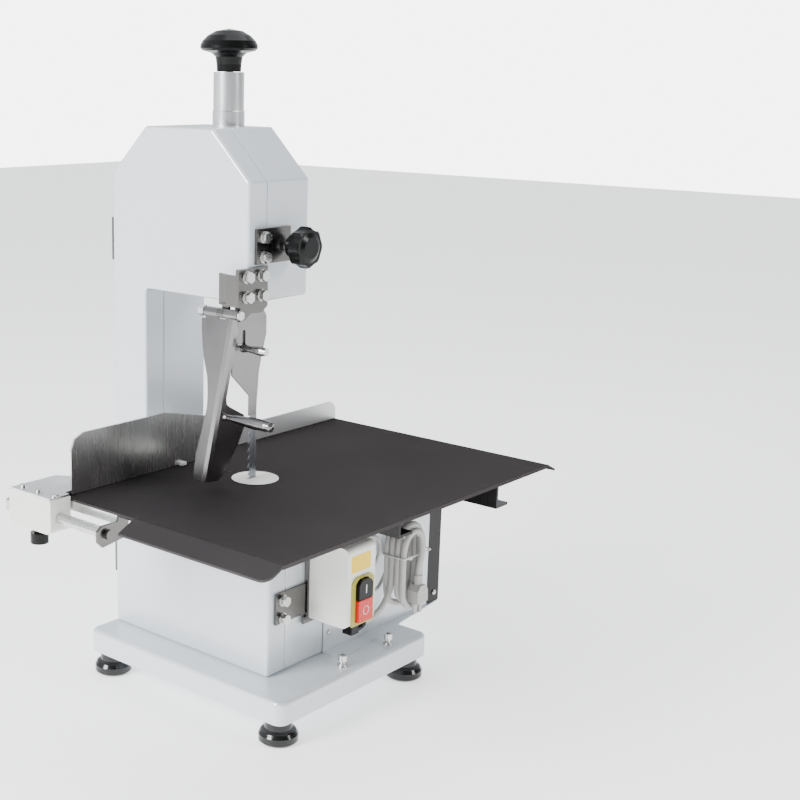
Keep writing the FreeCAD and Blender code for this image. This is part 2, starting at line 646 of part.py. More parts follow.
def make_drive():
    """Direct-drive motor: flanged body, end shields, rotor on its shaft, fan and cowl."""
    x, z = "wheel_x", "lower_wheel_z"
    front = "blade_y - wheel_width / 2"
    make_wheel("lower_wheel", "shaft_radius", z)
    shaft = fuse(round_bar("y", x, f"{front} - 10", z, "shaft_radius", f"215 - ({front} - 10)"),
                 round_bar("y", x, f"{front} + 22.6", z, 14, 20),
                 round_bar("y", x, "55", z, "rotor_radius", 95))
    keep("drive_shaft", shaft)
    nut = fuse(hexagon("y", x, f"{front} - 16", z, 30, 10), round_bar("y", x, f"{front} - 6", z, 18, 3.5))
    keep("wheel_nut", cut(nut, round_bar("y", x, f"{front} - 18", z, "shaft_radius", 20)))
    ring = round_bar("y", x, "22", z, "motor_radius", 160)
    bodies = []
    for index in range(20):
        fin = doc.addObject("Part::Feature", "Fin")
        centre = Vector(cell("wheel_x"), 0, cell("lower_wheel_z"))
        shape = Part.makeBox(3, 140, 11, Vector(-1.5, 32, cell("motor_radius") - 4))
        shape.rotate(Vector(), Y_AXIS, 18 * index)
        fin.Shape = shape
        fin.Placement = Placement(centre, Rotation())
        bodies.append(fin)
    keep("motor_body", cut(fuse(ring, *bodies), round_bar("y", x, "20", z, "rotor_radius + 1", 170)))
    flange = fuse(round_bar("y", x, "housing_back", z, 84, 10), round_bar("y", x, "8", z, 70, 14))
    front_shield = cut(flange, round_bar("y", x, "housing_back - 1", z, "shaft_radius + 1", 30),
                       round_bar("y", x, "9", z, "23.5", 14))
    rear = fuse(round_bar("y", x, "182", z, 70, 10), round_bar("y", x, "168", z, 30, 15))
    rear_shield = cut(rear, round_bar("y", x, "160", z, "shaft_radius + 1", 40),
                      round_bar("y", x, "167", z, "23.5", 14))
    keep("motor_shields", group(front_shield, rear_shield))
    keep("motor_bearings", group(*[bearing(x, start, z, "shaft_radius + running_gap", "23.5", 13)
                                   for start in ("9", "168")]))
    blades = [round_bar("y", x, "196", z, 16, 18)]
    for index in range(7):
        vane = doc.addObject("Part::Feature", "Vane")
        shape = Part.makeBox(3, 16, 46, Vector(-1.5, 197, 12))
        shape.rotate(Vector(), Y_AXIS, 360 / 7 * index)
        vane.Shape = shape
        vane.Placement = Placement(Vector(cell("wheel_x"), 0, cell("lower_wheel_z")), Rotation())
        blades.append(vane)
    keep("motor_fan", cut(fuse(*blades), round_bar("y", x, "190", z, "shaft_radius", 40)))
    cowl = cut(round_bar("y", x, "192.4", z, 72, 32), round_bar("y", x, "191", z, 69, 30),
               *[round_bar("y", f"{x} + {40 * math.cos(math.radians(60 * index)):.4f}", "215",
                           f"{z} + {40 * math.sin(math.radians(60 * index)):.4f}", 14, 20)
                 for index in range(6)])
    keep("fan_cowl", cowl)


def make_motor_covers():
    """Sheet-steel motor cover with a foot flange, and a louvred rear cap."""
    outer = block("cover_left", "cover_right", "housing_back + 1.2", "cover_back", "base_top", "cover_top")
    inner = block("cover_left + 2.5", "cover_right - 2.5", "housing_back", "cover_back + 1",
                  "base_top + 1.5", "cover_top - 2.5")
    flange = plate("xy", [("-flange_right", "housing_back + 1.2"), ("flange_right", "housing_back + 1.2"),
                          ("cover_right", "rear_cap_back - 1"), ("cover_left", "rear_cap_back - 1"),
                          ("-flange_right", "base_width / 2")],
                   "base_top", "base_top + 1.5")
    keep("motor_cover", fuse(cut(outer, inner), flange))
    cap = block("cover_left", "cover_right", "cover_back + 0.2", "rear_cap_back", "base_top + 2", "cover_top")
    room = block("cover_left + 2.5", "cover_right - 2.5", "cover_back - 1", "rear_cap_back - 2.5",
                 "base_top + 4.5", "cover_top - 2.5")
    slots = [block("wheel_x - 55", "wheel_x + 55", "rear_cap_back - 5", "rear_cap_back + 1",
                   f"base_top + {40 + 16 * index}", f"base_top + {46 + 16 * index}") for index in range(8)]
    keep("motor_rear_cap", cut(cap, room, *slots))


# ---------------------------------------------------------------- table

def make_table():
    """Steel table with a sloping front lip, a short rear lip and an upstand on its left rear edge."""
    under = "table_top - sheet_thick"
    sheet_plate = block("table_left", "table_right", "table_front", "table_back", under, "table_top")
    lip = plate("yz", [("table_front + 1", "table_top"), ("table_front", "table_top"),
                       ("table_front - lip_reach", "table_top - lip_drop"),
                       ("table_front - lip_reach", "table_top - lip_drop - sheet_thick"),
                       ("table_front", under), ("table_front + 1", under)], "lip_left", "table_right")
    # the lip's right corner is rounded
    corner = [("table_right + 2", "table_front - lip_reach + 14"), ("table_right + 2", "table_front - lip_reach - 2"),
              ("table_right - 14", "table_front - lip_reach - 2")]
    for step in range(7):
        angle = math.radians(15 * step)
        corner.append((f"table_right - 14 + {14 * math.sin(angle):.4f}",
                       f"table_front - lip_reach + 14 - {14 * math.cos(angle):.4f}"))
    bevel = plate("xy", corner, "table_top - 30", "table_top + 5")
    rear = plate("yz", [("table_back - 1", "table_top"), ("table_back", "table_top"),
                        ("table_back + 20", "table_top - 10"),
                        ("table_back + 20", "table_top - 10 - sheet_thick"), ("table_back", under),
                        ("table_back - 1", under)], "table_left", "table_right")
    side = block("table_right - sheet_thick", "table_right", "table_front", "table_back",
                 "table_top - 5", "table_top")
    upstand = plate("yz", [("30", under), ("table_back", under), ("table_back", "table_top + upstand_height"),
                           ("30", "table_top + upstand_height")], "table_left", "table_left + sheet_thick",
                    "16", upper_corner)
    ring = tube("z", "insert_x", "insert_y", "table_top - 9", 37, 28.5, "9 - sheet_thick")
    hole = round_bar("z", "insert_x", "insert_y", "table_top - 6", "insert_radius + 0.3", 8)
    slit = block("table_left - 1", "insert_x", "blade_y - 1.5", "blade_y + 1.5", "table_top - 10",
                 "table_top + 1")
    keep("table", cut(fuse(sheet_plate, cut(lip, bevel), rear, side, upstand, ring), hole, slit))
    insert = round_bar("z", "insert_x", "insert_y", "table_top - 6", "insert_radius", 6)
    window = block(f"{BLADE_X} - 1.6", f"{BLADE_X} + blade_thick + 1.6", "blade_y - 11", "blade_y + 10",
                   "table_top - 7", "table_top + 1")
    entry = block("insert_x - 40", f"{BLADE_X}", "blade_y - 1", "blade_y + 1", "table_top - 7",
                  "table_top + 1")
    keep("table_insert", cut(insert, window, entry))


def upper_corner(edge):
    """Test that picks the upstand's two upper corners, which run across its thickness."""
    top = value_of("table_top + upstand_height")
    return along(X_AXIS)(edge) and abs(edge.BoundBox.ZMin - top) < 1e-4


def make_table_supports():
    """Two channel rails under the table, and a peg for the mains lead."""
    under = "table_top - sheet_thick"
    rails = []
    for y0, y1, bottom in (("-38", "-8", "box_top"), ("196", "226", "cover_top")):
        channel = block("-70", "272", y0, y1, bottom, under)
        gap = block("-71", "273", f"{y0} + 4", f"{y1} + 1", f"{bottom} + 4", f"{under} - 4")
        rails.append(cut(channel, gap))
    keep("table_rails", group(*rails))
    # the peg passes through the hank's upper loop
    keep("lead_peg", fuse(block("139", "163", "106", "130", f"{under} - 3", under),
                          round_bar("z", "151", "118", "234", 3, f"{under} - 235"),
                          ball("151", "118", "234", 3),
                          round_bar("x", "151", "118", "234", 3, 45),
                          ball("196", "118", "234", 4.5)))


def make_base_screws():
    """Two cap screws on the base, and the holes they need."""
    screws = [cap_screw("168", "-14", "base_top", 8, 5.5), cap_screw("168", "92", "base_top", 8, 5.5)]
    holes = [round_bar("z", "168", y, "base_top - 5.6", 4, 6) for y in ("-14", "92")]
    return screws, holes


# ---------------------------------------------------------------- fence

def make_fence():
    """Sliding fence: a bent plate on a plastic block that runs on a round rod."""
    floor = "table_top + 1"
    upright = plate("yz", [("fence_near", floor), ("fence_far", floor),
                           ("fence_far", f"{floor} + 40"), ("fence_far - 12", f"{floor} + 56"),
                           ("-134", f"{floor} + fence_height"), ("fence_near + 22", f"{floor} + fence_height"),
                           ("fence_near + 6", f"{floor} + fence_height - 7"),
                           ("fence_near", f"{floor} + fence_height - 22")], "fence_x", "fence_x + 3")
    seat = "table_top + 4"
    flange = plate("xy", [("block_left + 3", "rod_y - 16"), ("block_right - 1", "rod_y - 16"),
                          ("block_right - 1", "rod_y + 17"), ("fence_x + 3", "rod_y + 18"),
                          ("fence_x + 3", "-220"), ("fence_x - 18", "-220"),
                          ("fence_x - 46", "-262"), ("block_left + 3", "-276")], seat, f"{seat} + 3")
    holes = [round_bar("z", x, "rod_y - 2", "table_top", 3.2, 10) for x in FENCE_SCREWS]
    keep("fence_plate", cut(fuse(upright, flange), *holes))
    body = plate("xz", [("block_left", "rod_z - 20"), ("block_right", "rod_z - 20"), ("block_right", seat),
                        ("block_left", seat)], "rod_y - 16", "rod_y + 18", "9", lower_block_corner)
    bore = round_bar("x", "block_left - 1", "rod_y", "rod_z", "rod_radius + running_gap", 90)
    lock_bore = round_bar("z", "-90", "rod_y", "rod_z - 21", "4 + running_gap", 14)
    taps = [round_bar("z", x, "rod_y - 2", "rod_z + 11", 3, 20) for x in FENCE_SCREWS]
    keep("fence_block", cut(body, bore, lock_bore, *taps))
    screws = [fuse(round_bar("z", x, "rod_y - 2", f"{seat} + 3", 5.2, 2.6),
                   round_bar("z", x, "rod_y - 2", "rod_z + 12", 3, f"{seat} + 3 - (rod_z + 12)"))
              for x in FENCE_SCREWS]
    keep("fence_screws", group(*screws))
    knob = [round_bar("z", "-90", "rod_y", "rod_z - 42", 12, 14),
            round_bar("z", "-90", "rod_y", "rod_z - 29", 7, 8.6),
            round_bar("z", "-90", "rod_y", "rod_z - 29", 4, "29 - rod_radius - 0.3")]
    keep("fence_lock_screw", fuse(*knob))
    rod = fuse(round_bar("x", "block_left - 12", "rod_y", "rod_z", "rod_radius", "38 - (block_left - 12)"),
               hexagon("x", "block_left - 13", "rod_y", "rod_z", 24, 9))
    keep("fence_rod", rod)
    ear = plate("yz", [("rod_y - 16", "rod_z - 8"), ("rod_y - 8", "rod_z - 16"), ("rod_y + 36", "rod_z - 10"),
                       ("rod_y + 36", "table_top - sheet_thick"), ("rod_y + 21", "table_top - sheet_thick"),
                       ("rod_y + 18", "rod_z + 12"), ("rod_y - 8", "rod_z + 12"), ("rod_y - 16", "rod_z + 6")],
                "38", "42")
    foot = block("38", "78", "table_front + 3", "table_front + 17", "table_top - 6", "table_top - sheet_thick")
    keep("rod_bracket", fuse(ear, foot, round_bar("x", "42", "rod_y", "rod_z", 6.5, 6)))


FENCE_SCREWS = ("-118", "-87", "-55")


def lower_block_corner(edge):
    """Test that picks the fence block's two lower corners."""
    return along(Y_AXIS)(edge) and edge.BoundBox.ZMax < value_of("rod_z")


# ---------------------------------------------------------------- pusher and guard

def make_pusher_bracket():
    """Bracket on the head's right side with the pusher's pivot pin, and its hex bolts."""
    side = plate("yz", [("pivot_y + 4", "pivot_z + 58"), ("-85", "pivot_z + 58"), ("-85", "pivot_z + 6"),
                        ("-96", "pivot_z - 2"), ("-118", "pivot_z - 1"), ("-128", "pivot_z - 8"),
                        ("pivot_y + 8", "pivot_z - 10"), ("pivot_y + 8", "pivot_z + 8.5"),
                        ("pivot_y + 4", "pivot_z + 9")],
                 "head_right", "head_right + 5")
    # the front piece bends back towards its left edge
    front = plate("xy", [("42", "pivot_y + 10"), ("60", "pivot_y + 4"), ("head_right + 1", "pivot_y + 4"),
                         ("head_right + 1", "pivot_y + 8"), ("61", "pivot_y + 8"), ("43.3", "pivot_y + 13.8")],
                  "pivot_z + 9", "pivot_z + 50")
    # a lug below the front piece sits between the pusher's two knuckles
    lug = fuse(round_bar("x", "lug_left", "pivot_y", "pivot_z", "barrel_radius", "lug_right - lug_left"),
               block("lug_left", "lug_right", "pivot_y + 4", "pivot_y + 8", "pivot_z", "pivot_z + 12"))
    hole = round_bar("x", "lug_left - 2", "pivot_y", "pivot_z", "pin_radius", 20)
    keep("pusher_bracket", cut(fuse(side, front, lug), hole, *bracket_bolt_holes()))
    pin = fuse(round_bar("x", "22", "pivot_y", "pivot_z", "pin_radius", "68"),
               hexagon("x", "20", "pivot_y", "pivot_z", 13, 9),
               hexagon("x", "88.5", "pivot_y", "pivot_z", 11, 3))
    keep("pusher_pin", pin)
    bolts = [hex_bolt("x", "head_right + 5", y, z, 4, 13, 7.5, 12) for y, z in BRACKET_BOLTS]
    bolts += [hex_bolt("x", f"{face} + 4", "latch_bolt_y", f"{level} + {shift}", 4, 13, 7.5, 10)
              for face, level, shift in LATCH_PLACES]
    keep("door_bolts", group(*bolts))


def pusher_frame(item):
    """Lean a pusher piece, drawn upright at the origin, and hang it on the pivot."""
    tilt = Rotation(X_AXIS, -PUSHER_LEAN)
    item.Placement = Placement(Vector(0, cell("pivot_y"), cell("pivot_z")), tilt)
    return item


PUSHER_LEAN = 6
PUSHER_SLANT = math.degrees(math.atan(24 / 202))


def make_pusher():
    """Pusher: a bent plate that hangs on its barrel, with a flange below the handle."""
    thick, bend = 3, 7
    fold_top = 82
    profile = [("-64", "0"), (f"-{bend}", "0"), (f"-{bend * 0.3:.2f}", f"{bend * 0.3:.2f}"), ("0", f"{bend}"),
               ("0", "80"), (f"-{thick}", "80"), (f"-{thick}", f"{bend + 0.6}"),
               (f"-{bend * 0.3 + 2.2:.2f}", f"{bend * 0.3 + 2.2:.2f}"), (f"-{bend + 0.6}", f"{thick}"),
               ("-64", f"{thick}")]
    angle_bar = plate("xy", profile, "-pusher_drop - 40", "40")
    angle_bar.Placement = Placement(Vector(fold_top - 2.6, -1.5, 0), Rotation(Y_AXIS, PUSHER_SLANT))
    front_shape = plate("xz", [("30", "-3"), ("90", "-3"), ("90", "-pusher_drop"), ("29", "-pusher_drop"),
                               ("32", "-190"), ("38", "-162"), ("42", "-140"), ("45", "-125"), ("44", "-105"),
                               ("41", "-85"), ("36.5", "-73"), ("32.6", "-62"), ("29", "-48"), ("27", "-37"),
                               ("24.5", "-22"), ("24", "-10"), ("30", "-9")], "-20", "90")
    side_shape = plate("yz", [("-10", "-3"), ("5", "-3"), ("5.5", "-12"), ("12", "-18"), ("12", "-112"),
                              ("15", "-120"), ("22", "-124"), ("52", "-136"), ("58", "-144"), ("58", "-152"),
                              ("50", "-180"), ("36", "-208"), ("29", "-220"), ("23", "-pusher_drop"),
                              ("-10", "-pusher_drop")], "0", "90")
    leaf = cut(common(angle_bar, front_shape, side_shape),
               round_bar("x", "lug_left - 0.5", "0", "0", "barrel_radius + 1", "lug_right - lug_left + 1"))
    barrel = fuse(round_bar("x", "30", "0", "0", "barrel_radius", "lug_left - 0.3 - 30"),
                  round_bar("x", "lug_right + 0.3", "0", "0", "barrel_radius", "88 - lug_right - 0.3"))
    bore = round_bar("x", "20", "0", "0", "pin_radius + running_gap", 70)
    grip = [("0", "-6"), ("3", "-6"), ("3", "0"), ("5.5", "0"), ("4", "4"), ("4.2", "10"), ("5.6", "24"), ("7.4", "44"),
            ("8", "56"), ("7.6", "71"), ("6.6", "79"), ("0", "81")]
    handle = turned(grip, "0", "0", "0", "x")
    height = -137
    reach = fold_top - 2.6 + height * math.tan(math.radians(PUSHER_SLANT))
    local = Placement(Vector(reach + 0.2, 16, height), TURN_TO["x"])
    frame = Placement(Vector(0, cell("pivot_y"), cell("pivot_z")), Rotation(X_AXIS, -PUSHER_LEAN))
    for letter in "xyz":
        handle.setExpression(f"Placement.Base.{letter}", None)
    handle.Placement = frame.multiply(local)
    keep("pusher_handle", handle)
    keep("pusher_plate", cut(pusher_frame(cut(fuse(leaf, barrel), bore)), handle))


def make_guard():
    """Blade guard that slides on a holder under the head, and its clamping screw."""
    guard = plate("yz", [("guard_screw_y - 22", "guard_top"), ("guard_screw_y + 40", "guard_top"),
                         ("guard_screw_y + 45", "guard_top - 8"), ("guard_screw_y + 45", "guard_top - 32"),
                         ("guard_screw_y + 36", "guard_top - 62"), ("guard_screw_y + 31", "guard_top - 82"),
                         ("guard_screw_y + 26", "guard_bottom"), ("guard_screw_y + 12", "guard_bottom"),
                         ("guard_screw_y + 12", "guard_bottom + 28"), ("guard_screw_y - 22", "guard_bottom + 60")],
                  "guard_x", "guard_x + 2")
    slot = block("guard_x - 1", "guard_x + 3", "guard_screw_y - 3.4", "guard_screw_y + 3.4",
                 "guard_screw_z - 1", "guard_screw_z + guard_travel + 1")
    ends = [round_bar("x", "guard_x - 1", "guard_screw_y", f"guard_screw_z + {shift}", 3.4, 4)
            for shift in ("-1", "guard_travel + 1")]
    keep("blade_guard", cut(guard, slot, *ends))
    holder = fuse(block("guard_x - 8", "guard_x - 0.3", "guard_screw_y - 7", "guard_screw_y + 7",
                        "guard_screw_z - 14", "head_bottom"),
                  block("guard_x - 20", "guard_x - 0.3", "guard_screw_y - 4", "guard_screw_y + 12",
                        "head_bottom - 4", "head_bottom"))
    keep("guard_holder", cut(holder, round_bar("x", "guard_x - 10", "guard_screw_y", "guard_screw_z",
                                               "3 + running_gap", 12)))
    keep("guard_screw", fuse(round_bar("x", "guard_x - 7", "guard_screw_y", "guard_screw_z", 3, 16),
                             cone("x", "guard_x + 2.4", "guard_screw_y", "guard_screw_z", 6, 4.2, 8),
                             cone("x", "guard_x + 10.4", "guard_screw_y", "guard_screw_z", 4.2, 6.2, 23),
                             cone("x", "guard_x + 33.4", "guard_screw_y", "guard_screw_z", 6.2, 5, 9)))


def make_lower_guides():
    """Lower blade guide on the lower box's roof, and the two blade scrapers."""
    base = block(f"{BLADE_X} - 22", f"{BLADE_X} - 1", "seam + 2", "-58", "box_top", "box_top + 18")
    jaw = block(f"{BLADE_X} + blade_thick + 0.8", f"{BLADE_X} + 18", "seam + 2", "-58",
                "box_top", "box_top + 18")
    back = block(f"{BLADE_X} - 22", f"{BLADE_X} + 18", "-66", "-58", "box_top", "box_top + 18")
    roller_gap = block(f"{BLADE_X} - 2", f"{BLADE_X} + 3", "seam - 5", "-66", "box_top - 1", "box_top + 20")
    keep("lower_guide", cut(fuse(base, jaw, back), roller_gap))
    blades = []
    for level in (f"{UPPER_WHEEL_Z} - 60", "lower_wheel_z + 60"):
        blades.append(fuse(block("column_left + wall", "column_left + wall + 20", "-78", "-20",
                                 f"{level} - 6", f"{level} + 6"),
                           block("column_left + wall + 16", f"wheel_x - wheel_radius - blade_thick - 2.5",
                                 "-86", "-68", f"{level} - 2", f"{level} + 2")))
    keep("blade_scrapers", group(*blades))


# ---------------------------------------------------------------- switch and leads

def make_switch():
    """Switch box on its bracket, with an arched bezel and two push buttons."""
    back_plate = plate("yz", [("switch_front - 4", "switch_bottom - 7"), ("switch_back + 4", "switch_bottom - 7"),
                              ("switch_back + 4", "switch_top + 3"), ("switch_front - 4", "switch_top + 3")],
                       "box_right + 2.2", "switch_left", "5", along(X_AXIS))
    spacer = block("box_right", "box_right + 2.2", "switch_front - 4", "housing_back - 3",
                   "switch_bottom - 2", "switch_top - 2")
    ear = block("box_right + 2.2", "switch_left", "switch_front - 11", "switch_front",
                "switch_bottom - 7", "switch_bottom + 3")
    keep("switch_bracket", fuse(back_plate, spacer, ear))
    case = plate("xz", [("switch_left", "switch_bottom"), ("switch_right", "switch_bottom"),
                        ("switch_right", "switch_top"), ("switch_left", "switch_top")],
                 "switch_front", "switch_back", "8", outer_case_edge)
    room = block("switch_left - 1", "switch_right - 3", "switch_front + 3", "switch_back - 3",
                 "switch_bottom + 3", "switch_top - 3")
    keep("switch_box", cut(case, room, arched("-23", "9", "6", "68", "switch_right - 6", "switch_right + 1")))
    keep("switch_bezel", cut(arched("-30", "17", "1.5", "71", "switch_right", "switch_right + 2.5"),
                             arched("-23", "9", "6", "68", "switch_right - 1", "switch_right + 4")))
    keep("off_button", block("switch_right - 12", "switch_right + 8", "-22", "8",
                             "switch_bottom + 7", "switch_bottom + 38"))
    keep("on_button", arched("-22", "8", "39.2", "67", "switch_right - 12", "switch_right + 8"))


def arched(near, far, low, high, start, end):
    """Upright plate with an arched top, at heights above the switch box's underside."""
    rise = [(0, -7), (4, -2.2), (9, 0)]
    left = [(f"{near} + {across}", f"switch_bottom + {high} + {drop}") for across, drop in rise]
    right = [(f"{far} - {across}", f"switch_bottom + {high} + {drop}") for across, drop in reversed(rise)]
    return plate("yz", [(near, f"switch_bottom + {low}"), *left, *right, (far, f"switch_bottom + {low}")],
                 start, end)


def outer_case_edge(edge):
    """Test that picks the switch box's edges on its right face and its two right vertical ends."""
    return along(Y_AXIS)(edge) and edge.BoundBox.XMin > value_of("switch_right - 1")


MAINS_ROUTE = [(168, 30.7, 119), (168, 51, 119), (169, 69.4, 126.6), (170, 83.5, 140.7), (171, 91.1, 159.1),
               (171, 91.1, 179.7)]
MOTOR_ROUTE = [(160, 40, 238), (160, 56, 238), (160.5, 71, 231), (161, 75, 215), (162, 67, 201),
               (163, 56, 190), (163, 51, 175), (162, 56, 161), (159, 69, 152), (154, 85, 154),
               (150, 100, 162), (145, 115, 172), (140, 130, 181), (138, 146, 186)]


def lead(name, route, diameter):
    """Round lead along straight runs joined by tangent arcs."""
    points = [Vector(*point) for point in route]
    edges = []
    radii = []
    start = points[0]
    for before, corner, after in zip(points, points[1:], points[2:]):
        run_in = (corner - before).Length
        run_out = (after - corner).Length
        arrive = (corner - before).normalize()
        leave = (after - corner).normalize()
        turn = arrive.getAngle(leave)
        reach = 0.45 * min(run_in, run_out)
        radius = reach / math.tan(turn / 2)
        radii.append(round(radius, 1))
        arc_start = corner - arrive * reach
        arc_end = corner + leave * reach
        inward = (leave - arrive).normalize()
        middle = corner + inward * (radius / math.cos(turn / 2) - radius)
        edges.append(Part.LineSegment(start, arc_start).toShape())
        edges.append(Part.Arc(arc_start, middle, arc_end).toShape())
        start = arc_end
    edges.append(Part.LineSegment(start, points[-1]).toShape())
    path = Part.Wire(edges)
    section = Part.Wire(Part.makeCircle(diameter / 2, points[0], points[1] - points[0]))
    solid = path.makePipeShell([section], True, False)
    item = doc.addObject("Part::Feature", "Lead")
    item.Shape = solid
    keep(name, item)
    expected = math.pi * diameter ** 2 / 4 * path.Length
    print(f"{name}: length {path.Length:.1f}, radii {radii}, volume ratio {solid.Volume / expected:.4f}")


def make_glands():
    """Three glands: mains lead and motor lead at the switch, motor lead at the motor cover."""
    mains = fuse(block("160", "176", "-6", "10", "switch_bottom - 23", "switch_bottom"),
                 hexagon("y", "168", "10", "119", 16, 7), cone("y", "168", "17", "119", 7.6, 5.6, 13.6))
    upper = fuse(hexagon("y", "160", "switch_back", "238", 16, 6),
                 cone("y", "160", "switch_back + 6", "238", 7, 3.8, 12))
    entry = fuse(block("cover_right", "147", "152", "174", "175", "197"),
                 cone("y", "138", "147", "186", 4.2, 8, 5))
    keep("cable_glands", group(mains, upper, entry))


def make_hank():
    """Mains lead folded into a hank that hangs on the peg, and its plug."""
    outline = [("86", "179.8"), ("97", "179.8"), ("98", "132"), ("104", "122"), ("114", "118"), ("132", "118"),
               ("144", "123"), ("150", "134"), ("151", "160"), ("151", "215"), ("147", "234"), ("138", "245"),
               ("124", "249"), ("112", "249"), ("98", "244"), ("89", "232"), ("86", "214")]
    slab = plate("yz", outline, "157", "187")
    eye = plate("yz", [("106", "145"), ("132", "145"), ("140", "152"), ("141", "212"), ("136", "228"),
                       ("128", "237.1"), ("109", "237.1"), ("100", "226"), ("97", "210"),
                       ("97", "190"), ("106", "178")],
                "150", "200")
    keep("lead_hank", cut(slab, eye))
    body = fuse(plate("yz", [("108", "132"), ("134", "132"), ("133", "150"), ("127", "158"), ("115", "158"),
                             ("109", "150")], "187", "205"),
                round_bar("z", "196", "121", "157", 6, 15))
    blades = [block("194.5", "197.5", f"{y}", f"{y} + 6.3", "114", "133") for y in (111.5, 124.2)]
    keep("mains_plug", fuse(body, *blades))


# ---------------------------------------------------------------- assembly

cap_screws, cap_screw_holes = make_base_screws()
make_base(cap_screw_holes)
make_feet(cap_screws)
make_rear_housing()
make_front_door()
make_hinges()
make_latches()
make_star_knob()
make_blade()
make_upper_wheel()
make_tension()
make_drive()
make_motor_covers()
make_table()
make_table_supports()
make_fence()
make_pusher_bracket()
make_pusher()
make_guard()
make_lower_guides()
make_switch()
make_glands()
make_hank()
lead("mains_lead", MAINS_ROUTE, cell("lead_diameter"))
lead("motor_lead", MOTOR_ROUTE, cell("motor_lead_diameter"))

# every sub-part gets the same shift, to the origin below the centre of the overall box
for name, item in nodes.items():
    holder = doc.addObject("Part::Compound", "Part_" + name)
    holder.Links = [item]
    item.Label = name + "_shape"
    holder.Label = name
    nodes[name] = place(holder, "-(hinge_x - 6 + table_right) / 2", "-(rod_y - 16 + rear_cap_back) / 2", "0")

doc.recompute()

for item in doc.Objects:
    if "Invalid" in item.State or "Error" in item.State:
        raise RuntimeError(f"{item.Name} ({item.Label}) failed: {item.State}")
for name, item in nodes.items():
    shape = item.Shape
    if shape.isNull() or not shape.isValid():
        raise RuntimeError(f"{name} has no valid shape")

os.makedirs("parts", exist_ok=True)
for name, item in nodes.items():
    item.Shape.exportStep(os.path.join("parts", name + ".step"))
print(len(nodes), "nodes written")
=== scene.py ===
"""Countertop bone saw: materials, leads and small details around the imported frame.

Lengths given in millimetres are in the saw's own frame, from the centre of the four feet.
"""

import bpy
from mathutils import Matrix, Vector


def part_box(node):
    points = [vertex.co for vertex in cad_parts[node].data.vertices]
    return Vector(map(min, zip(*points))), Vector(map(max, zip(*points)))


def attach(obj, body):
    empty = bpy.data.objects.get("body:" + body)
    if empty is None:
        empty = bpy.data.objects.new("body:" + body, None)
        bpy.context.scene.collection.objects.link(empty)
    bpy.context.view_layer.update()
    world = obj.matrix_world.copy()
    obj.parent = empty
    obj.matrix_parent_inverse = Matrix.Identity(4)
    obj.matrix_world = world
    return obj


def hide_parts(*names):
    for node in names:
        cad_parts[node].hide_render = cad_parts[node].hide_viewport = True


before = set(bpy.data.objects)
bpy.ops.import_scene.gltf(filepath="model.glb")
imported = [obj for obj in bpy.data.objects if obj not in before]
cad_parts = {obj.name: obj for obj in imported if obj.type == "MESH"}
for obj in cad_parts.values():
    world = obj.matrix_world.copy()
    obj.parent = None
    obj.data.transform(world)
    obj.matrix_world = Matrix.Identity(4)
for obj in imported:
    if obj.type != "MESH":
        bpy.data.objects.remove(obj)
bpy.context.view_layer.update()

import math

import bmesh
import bpy
from mathutils import Matrix, Vector

MM = 0.001
base_low, base_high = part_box("base_plate")
CENTRE = Vector(((base_low.x + base_high.x) / 2, (base_low.y + base_high.y) / 2, 0))


def at(x, y, z):
    """Point of the saw's own frame, in metres of the record's frame."""
    return CENTRE + Vector((x, y, z)) * MM


# ---------------------------------------------------------------- camera, floor and light

AZIMUTH, ELEVATION, ROLL = math.radians(42.5), math.radians(13.0), math.radians(0.53)
CAMERA_AT = at(1268.9, -1446.2, 870.5)
LENS, SENSOR = 62.6, 36.0
SHIFT_X, SHIFT_Y = 0.209, -0.009
FLOOR_HALF, FLOOR_DROP = 9, 0.0005
FLOOR_GLOW, BACKDROP_GLOW = 1.1, 6.0
BRIGHT_SIDE, DARK_SIDE = 1.25, 0.22


def make_camera():
    """Camera at the photograph's viewing angle."""
    data = bpy.data.cameras.new("camera")
    data.lens, data.sensor_width = LENS, SENSOR
    data.shift_x, data.shift_y = SHIFT_X, SHIFT_Y
    data.clip_start, data.clip_end = 0.05, 50
    camera = bpy.data.objects.new("camera", data)
    bpy.context.scene.collection.objects.link(camera)
    back = Vector((math.sin(AZIMUTH) * math.cos(ELEVATION), -math.cos(AZIMUTH) * math.cos(ELEVATION),
                   math.sin(ELEVATION)))
    right = Vector((math.cos(AZIMUTH), math.sin(AZIMUTH), 0))
    up = back.cross(right)
    turn = Matrix((right, up, back)).transposed().to_4x4()
    camera.matrix_world = Matrix.Translation(CAMERA_AT) @ turn @ Matrix.Rotation(ROLL, 4, "Z")
    bpy.context.scene.camera = camera


def make_light(name, place, aim, size, power):
    """Soft square light that points at a target."""
    data = bpy.data.lights.new(name, "AREA")
    data.shape, data.size, data.energy = "SQUARE", size, power
    light = bpy.data.objects.new(name, data)
    bpy.context.scene.collection.objects.link(light)
    light.location = place
    light.rotation_euler = (Vector(aim) - Vector(place)).to_track_quat("-Z", "Y").to_euler()


